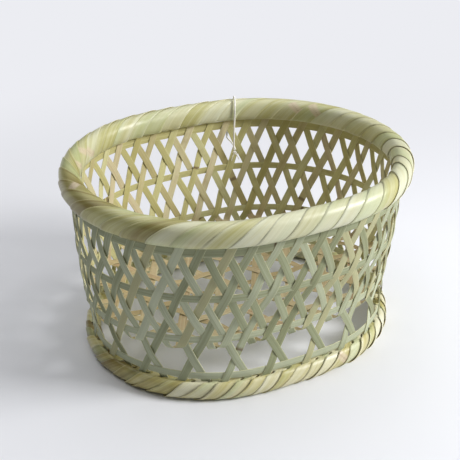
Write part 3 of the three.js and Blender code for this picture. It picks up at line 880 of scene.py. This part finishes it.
def winding_part(bundle, first, look, stem_joints):
    """Strip wound round a bundle. Along it, turn goes round the section from the thread point, and
    station = first + advance * (turn - sway * (sin(turn - lead) + sin(lead))) / 2 pi: the strip slants
    most half a turn after the lead. Across it, v runs along the bundle from -1 to 1, and the strip rises
    from its tucked edge to the edge over its neighbour. Stem joints are given in turns along it."""
    whole = 2 * math.pi
    turns = look["turns"]
    advance = WINDING_ROUNDS * STRIPS_EACH_WAY / (2 * turns)
    turn = np.linspace(WINDING_END, turns - WINDING_END, turns * WINDING_STEPS) * whole
    away = (1 - np.cos(turn)) / 2
    lap = turn / whole
    v = np.linspace(-1, 1, WINDING_ACROSS)
    opening = smoothstep(away / look["opening"])
    pass_shift = wander(lap, turns, look["shift"]) * away
    middle = first + advance * lap
    from_place = whole * (middle - look["sway_place"]) / STRIPS_EACH_WAY
    sway = look["sway"] + look["sway_swing"] * np.cos(from_place)
    ahead = turn - sway * (np.sin(turn - look["lead"]) + math.sin(look["lead"]))
    station = first + advance * ahead / whole + pass_shift
    full = look["spread"] * (1 + wander(lap, turns, look["width_swing"]))
    half = (look["thread_width"] + (full - look["thread_width"]) * opening) / 2 / PITCH
    lifted = ring_bands(middle, look["lifted_places"], look["lifted_reach"])
    rise = (look["rise"] + wander(lap * 3, 3 * turns, look["rise_swing"])) * opening
    rise = rise + look["lifted_rise"] * lifted * opening
    seat = wander(lap, turns, look["seat_swing"]) - look["sink"]
    slope = (1 - v) / 2
    lift = seat[:, None] + rise[:, None] * slope[None] ** 2 + look["crown"] * (1 - v**2)[None]
    sine, cosine = round_section(turn)

    def surface(depth):
        wide = bundle["half_width"] + lift - depth
        tall = bundle["half_depth"] + lift - depth
        outward = -bundle["thread"] * wide * sine[:, None]
        z = bundle["z"] + bundle["thread"] * tall * cosine[:, None]
        along = station[:, None] + v[None] * half[:, None]
        points, _ = oval(along, outward, np.maximum(z, depth), bundle["inset"])
        return points

    skin = surface(0)
    back = surface(WINDING_THICKNESS)[:, ::-1]
    points = np.concatenate([skin, back], axis=1)
    across = np.concatenate([v, v[::-1]])
    side = np.concatenate([np.ones(WINDING_ACROSS), np.zeros(WINDING_ACROSS)])
    length = path_length(skin[:, WINDING_ACROSS // 2])
    # Painted shade: the pass tone is lowered round the given places, at the -x end that is turned away
    # from the window lamp.
    painted_shade = look["painted_shade_depth"] * ring_bands(station, look["painted_shade_places"], look["painted_shade_reach"])
    tone = np.clip(PASS_TONE + wander(lap, turns, PASS_TONE_SWING) - painted_shade, 0, 1)
    along = unit(np.gradient(skin[:, WINDING_ACROSS // 2], axis=0))
    skew = ((points - skin[:, WINDING_ACROSS // 2, None]) * along[:, None]).sum(axis=-1)
    joint_lengths = np.interp(stem_joints, lap, length)
    marks = bands(length[:, None] + skew, joint_lengths, WINDING_JOINT_HALF_WIDTH)
    return tube_part(points, across, side, length, tone=tone, marks=marks)


# Looks of the two windings: places and reaches are stations, widths and heights millimetres, and swings
# the reach of a wandering.
RIM_LOOK = {
    "turns": 22, "opening": 0.07, "shift": 0.26, "spread": 35, "width_swing": 0.1, "thread_width": 13,
    "sway": 0.7, "sway_swing": 0.7, "sway_place": 18, "lead": 0,
    "rise": 0.35, "rise_swing": 0.2,
    "lifted_places": (13, 22, 40), "lifted_reach": 4.5, "lifted_rise": 1.0,
    # Painted shade: the tone drops round these stations, at the -x end turned away from the window lamp.
    "painted_shade_places": (22,), "painted_shade_reach": 6, "painted_shade_depth": 0.5,
    "seat_swing": 0.1, "sink": 0.5, "crown": 0.2,
    "stem_joints": ((15.63, 20.65, 5.6), (8.62, 12.69, 14.43)),
}
FOOT_LOOK = {
    "turns": 29, "opening": 0.035, "shift": 0.32, "spread": 27, "width_swing": 0.18, "thread_width": 14,
    "sway": 0.25, "sway_swing": 0.4, "sway_place": 22, "lead": math.pi / 2,
    "rise": 1.0, "rise_swing": 0.7,
    "lifted_places": (27, 38), "lifted_reach": 4, "lifted_rise": 0.9,
    # Painted shade: the tone drops round these stations, at the -x end turned away from the window lamp.
    "painted_shade_places": (21,), "painted_shade_reach": 6, "painted_shade_depth": 0.5,
    "seat_swing": 0.15, "sink": 0.8, "crown": 0.2,
    "stem_joints": ((6.7, 19.6), (11.7, 24.8)),
}


def make_bundles():
    """Rim and foot: two clamping hoops, and one long winding in two pieces, one after the other."""
    half_way = WINDING_ROUNDS * STRIPS_EACH_WAY / 2
    for bundle, look, finish in ((RIM, RIM_LOOK, rim_bamboo), (FOOT, FOOT_LOOK, foot_bamboo)):
        name = bundle["name"]
        make_core(bundle, 1, f"{name}_outer_hoop")
        make_core(bundle, -1, f"{name}_inner_hoop")
        for k, stem_joints in enumerate(look["stem_joints"]):
            part = winding_part(bundle, FIRST_GAP + k * half_way, look, stem_joints)
            node = f"{name}_winding_{k + 1}"
            put_piece(f"{node}_bamboo", [part], finish, f"{name}_bamboo", node)


# String: the route from the knot up the inside, over the rim, down outside and back in under the top
# hoop, as outward of the rim's middle line, aside along the rim, and above the rim's middle.
STRING_STATION = 7.7
STRING_ROUTE = np.array([
    (-12.8, 1.3, -48), (-12.7, 1.2, -36), (-12.6, 0.9, -22), (-12.6, 0.4, -7),
    (-12.7, 0, 5.4), (-9.8, -0.8, 10.9), (-5.3, -1.7, 14.7), (0, -2.5, 15), (5.3, -3.1, 14.7),
    (9.6, -3.5, 10.9), (12.6, -3.7, 5.4), (12.7, -3.3, -5.8), (10.2, -1.8, -12.5), (8, 0.6, -18.5),
    (6.4, 3.4, -25), (4.6, 5.7, -31), (0.4, 7, -35.2), (-4, 5.8, -37), (-8, 3.2, -39.5),
    (-10.8, 0.8, -43), (-12, -1.3, -48),
])
STRING_DIAMETER = 2.2
STRING_SIDES = 12
STRING_STEPS = 260
STRING_TWIST = 3.2
STRING_GROOVE = 0.14
KNOT_DIAMETER = 6
KNOT_STEPS = 90
KNOT_TALLNESS = 1.2
TAIL_LENGTH = 11
TAIL_STEPS = 12
TAIL_WAY = np.array([0.45, -0.1, -0.9])
TAIL_CURL = 0.8
TAIL_DIAMETER = STRING_DIAMETER * 0.8
TAIL_TIP = 0.55


def smooth_route(points, steps):
    """Catmull-Rom curve through points, with the ends carried on straight."""
    ends = np.concatenate([[2 * points[0] - points[1]], points, [2 * points[-1] - points[-2]]])
    place = np.linspace(0, len(points) - 1, steps)
    whole = np.minimum(place.astype(int), len(points) - 2)
    t = (place - whole)[:, None]
    a, b, c, d = (ends[whole + k] for k in range(4))
    square = 2 * a - 5 * b + 4 * c - d
    cube = 3 * b - a - 3 * c + d
    return 0.5 * (2 * b + (c - a) * t + square * t**2 + cube * t**3)


def string_tube(path, diameter, taper=False):
    """Two-ply cord: a round section with two shallow grooves that turn, r = R (1 - g + g |cos|)."""
    along = unit(np.gradient(path, axis=0))
    guide = np.where(np.abs(along[:, 2:]) > 0.9, [[1.0, 0.0, 0.0]], [[0.0, 0.0, 1.0]])
    across = unit(np.cross(along, guide))
    out = np.cross(across, along)
    length = path_length(path)
    angle = np.linspace(0, 2 * math.pi, STRING_SIDES, endpoint=False)
    groove = np.abs(np.cos(angle[None] - length[:, None] / STRING_TWIST))
    radius = diameter / 2 * (1 - STRING_GROOVE + STRING_GROOVE * groove)
    if taper:
        radius = radius * np.linspace(1, TAIL_TIP, len(path))[:, None]
    points = path[:, None] + radius[..., None] * (
        np.cos(angle)[None, :, None] * across[:, None] + np.sin(angle)[None, :, None] * out[:, None]
    )
    return tube_part(points, np.cos(angle), np.ones(STRING_SIDES), length)


def make_string():
    """Loop of cotton hung on the rim, with its two ends knotted together inside the basket. The knot is a
    trefoil: x = sin t + 2 sin 2t, y = cos t - 2 cos 2t, z = -tallness * sin 3t."""
    outward, aside, rise = STRING_ROUTE.T
    points, _ = oval(STRING_STATION + aside / PITCH, outward, RIM["z"] + rise)
    path = smooth_route(points, STRING_STEPS)
    cord = string_tube(path, STRING_DIAMETER)
    string = put_piece("string_cotton", [cord], white_cotton, "cotton", "string")
    low, high = node_box("string_knot")
    centre = (low + high) / 2
    turn = np.linspace(0, 2 * math.pi, KNOT_STEPS)
    size = (KNOT_DIAMETER - STRING_DIAMETER) / 2 / 3
    trefoil = np.stack([
        np.sin(turn) + 2 * np.sin(2 * turn),
        np.cos(turn) - 2 * np.cos(2 * turn),
        -KNOT_TALLNESS * np.sin(3 * turn),
    ], axis=1) * size
    parts = [string_tube(centre + trefoil, STRING_DIAMETER)]
    for side in (-1, 1):
        reach = np.linspace(0, 1, TAIL_STEPS)[:, None]
        tail = centre + reach * TAIL_WAY * (side, 1, 1) * TAIL_LENGTH
        tail[:, 0] += side * TAIL_CURL * np.sin(reach[:, 0] * 3)
        parts.append(string_tube(tail, TAIL_DIAMETER, taper=True))
    knot = put_piece("string_knot_cotton", parts, white_cotton, "cotton", "string_knot")


# Floor and light.
FLOOR_SIZE = 60.0
FLOOR_NEAR = 0.2
FLOOR_FAR = 0.9
FLOOR_COLOUR = srgb(236, 237, 242)
KEY_PLACE = (1.32, -1.0, 1.15)
KEY_SIZE = 0.65
KEY_POWER = 39
CEILING_PLACE = (-0.2, 0.6, 2.1)
CEILING_SIZE = 2.6
CEILING_POWER = 30
SKY_STRENGTH = 0.1
SKY_COLOUR = (0.93, 0.95, 1.0, 1.0)


def make_floor():
    """Pale floor that takes the basket's shadow. Far from the basket it shows its own colour, unlit."""
    half = FLOOR_SIZE / 2
    mesh = bpy.data.meshes.new("floor")
    corners = [(-half, -half, 0), (half, -half, 0), (half, half, 0), (-half, half, 0)]
    mesh.from_pydata(corners, [], [(0, 1, 2, 3)])
    look = Finish("pale_floor", 0.7, 0.3)
    look.shader.inputs["Base Color"].default_value = FLOOR_COLOUR
    place = look.add("ShaderNodeTexCoord").outputs["Object"]
    reach = look.add("ShaderNodeVectorMath", {0: place}, operation="LENGTH").outputs["Value"]
    ray = look.add("ShaderNodeLightPath").outputs
    seen = look.combine("ADD", ray["Is Camera Ray"], ray["Is Glossy Ray"])
    seen = look.combine("MINIMUM", look.combine("ADD", seen, ray["Is Transmission Ray"]), 1.0)
    share = look.combine("MULTIPLY", look.span(reach, FLOOR_NEAR, FLOOR_FAR), seen)
    plain = look.add("ShaderNodeEmission", {"Color": FLOOR_COLOUR})
    floor_look = {0: share, 1: look.shader.outputs["BSDF"], 2: plain.outputs["Emission"]}
    surface = look.add("ShaderNodeMixShader", floor_look).outputs["Shader"]
    look.tree.links.new(surface, look.tree.nodes["Material Output"].inputs["Surface"])
    mesh.materials.append(look.material)
    floor = bpy.data.objects.new("floor", mesh)
    bpy.context.scene.collection.objects.link(floor)


def make_lamp(name, place, size, power):
    """Square lamp that faces the middle of the basket."""
    lamp = bpy.data.lights.new(name, "AREA")
    lamp.size = size
    lamp.energy = power
    holder = bpy.data.objects.new(name, lamp)
    aim = Vector(CAMERA_TARGET) * MM - Vector(place)
    holder.matrix_world = Matrix.Translation(place) @ aim.to_track_quat("-Z", "Y").to_matrix().to_4x4()
    bpy.context.scene.collection.objects.link(holder)


def make_light():
    """A window lamp, a wide ceiling lamp and a faint even sky."""
    make_lamp("window", KEY_PLACE, KEY_SIZE, KEY_POWER)
    make_lamp("ceiling", CEILING_PLACE, CEILING_SIZE, CEILING_POWER)
    world = bpy.data.worlds.new("room")
    world.use_nodes = True
    sky = world.node_tree.nodes["Background"]
    sky.inputs["Color"].default_value = SKY_COLOUR
    sky.inputs["Strength"].default_value = SKY_STRENGTH
    bpy.context.scene.world = world
    bpy.context.scene.view_settings.view_transform = "Standard"


make_camera()
make_string()
make_base_strips()
make_foot_pairs()
make_hoops()
make_bundles()
make_floor()
make_light()
